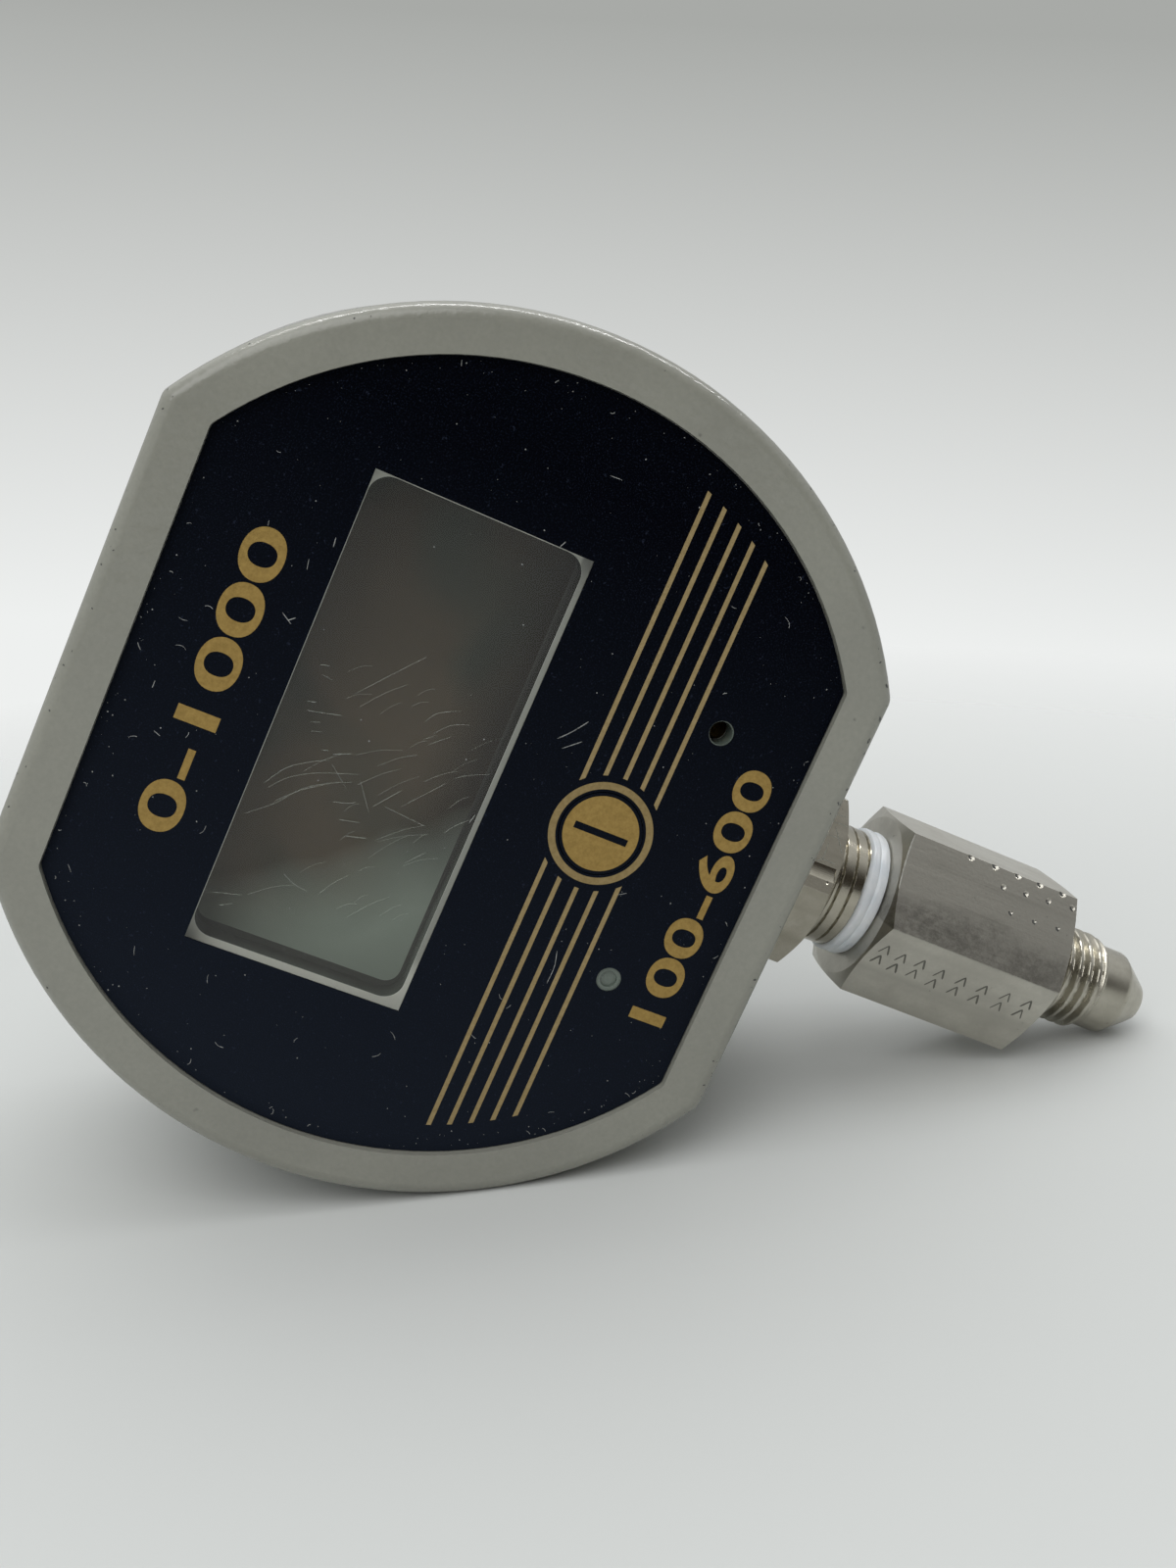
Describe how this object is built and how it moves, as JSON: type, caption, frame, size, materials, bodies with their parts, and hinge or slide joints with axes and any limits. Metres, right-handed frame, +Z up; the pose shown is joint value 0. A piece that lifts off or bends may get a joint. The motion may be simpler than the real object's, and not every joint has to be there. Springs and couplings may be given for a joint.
{
  "type": "digital pressure gauge",
  "caption": "Battery-powered digital pressure gauge with a round-sided flat-topped case, a clear display window, a push button and a hexagon adapter with a male flare thread below.",
  "frame": {"origin": "on the port's axis, where the male flare thread meets the adapter's hexagon", "axes": "+Z up along the port's axis towards the case; the display faces -Y; +X to the reader's right"},
  "size_m": [0.0858, 0.0421, 0.1241],
  "materials": {
    "coated_metal": "light grey powder coat, satin",
    "label_print": "dark printed film, fine grain",
    "button_print": "gold print on film",
    "clear_pane": "clear acrylic, scratched",
    "display_film": "grey-green film",
    "display_glass": "clear glass",
    "gasket_rubber": "black, matt",
    "board": "green solder mask",
    "chip_plastic": "black moulding",
    "tinned_metal": "tinned, bright",
    "zinc_steel": "zinc plated",
    "switch_plastic": "black moulding",
    "trimmer_plastic": "blue moulding",
    "rotor_brass": "plain brass",
    "tray_plastic": "black moulding",
    "cell_jacket": "printed jacket, plain",
    "foam": "open foam",
    "nickel_port": "warm nickel, rough turned",
    "stainless": "bead finished stainless",
    "tape": "white sealing tape"
  },
  "bodies": {
    "gauge": {"bezel": "coated_metal", "face_label": "label_print", "window_pane": "clear_pane", "case": "coated_metal", "front_gasket": "gasket_rubber", "rear_gasket": "gasket_rubber", "back_cover": "coated_metal", "cover_screws": "zinc_steel", "lcd_polariser": "display_film", "lcd_front_glass": "display_glass", "lcd_rear_glass": "display_glass", "lcd_reflector": "display_film", "lcd_pins": "tinned_metal", "switch_body": "switch_plastic", "trimmer_body": "trimmer_plastic", "circuit_board": "board", "board_screws": "zinc_steel", "controller_chip": "chip_plastic", "amplifier_chip": "chip_plastic", "crystal": "tinned_metal", "capacitors": "tinned_metal", "chip_resistors": "chip_plastic", "battery_holder": "tray_plastic", "battery_contacts": "tinned_metal", "battery_cell_upper": "cell_jacket", "battery_cell_lower": "cell_jacket", "battery_pad": "foam", "pressure_port": "nickel_port", "port_seal": "gasket_rubber", "port_washer": "zinc_steel", "port_nut": "zinc_steel", "sensor_capsule": "stainless", "sensor_seal": "gasket_rubber", "sensor_leads": "tinned_metal", "ptfe_tape": "tape", "flare_adapter": "stainless"},
    "button": {"power_button": "button_print", "switch_plunger": "switch_plastic"},
    "trimmer": {"trimmer_rotor": "rotor_brass"}
  },
  "joints": [
    {"name": "power_button_press", "type": "slide", "parent": "gauge", "child": "button", "axis": [0, 1, 0], "range_m": [0, 0.0003], "stiffness_N_per_m": 400, "springref_m": -0.002},
    {"name": "trimmer_turn", "type": "hinge", "parent": "gauge", "child": "trimmer", "pos_m": [0.01333, -0.01115, 0.0506], "axis": [0, -1, 0], "range_deg": [-135, 135]}
  ]
}
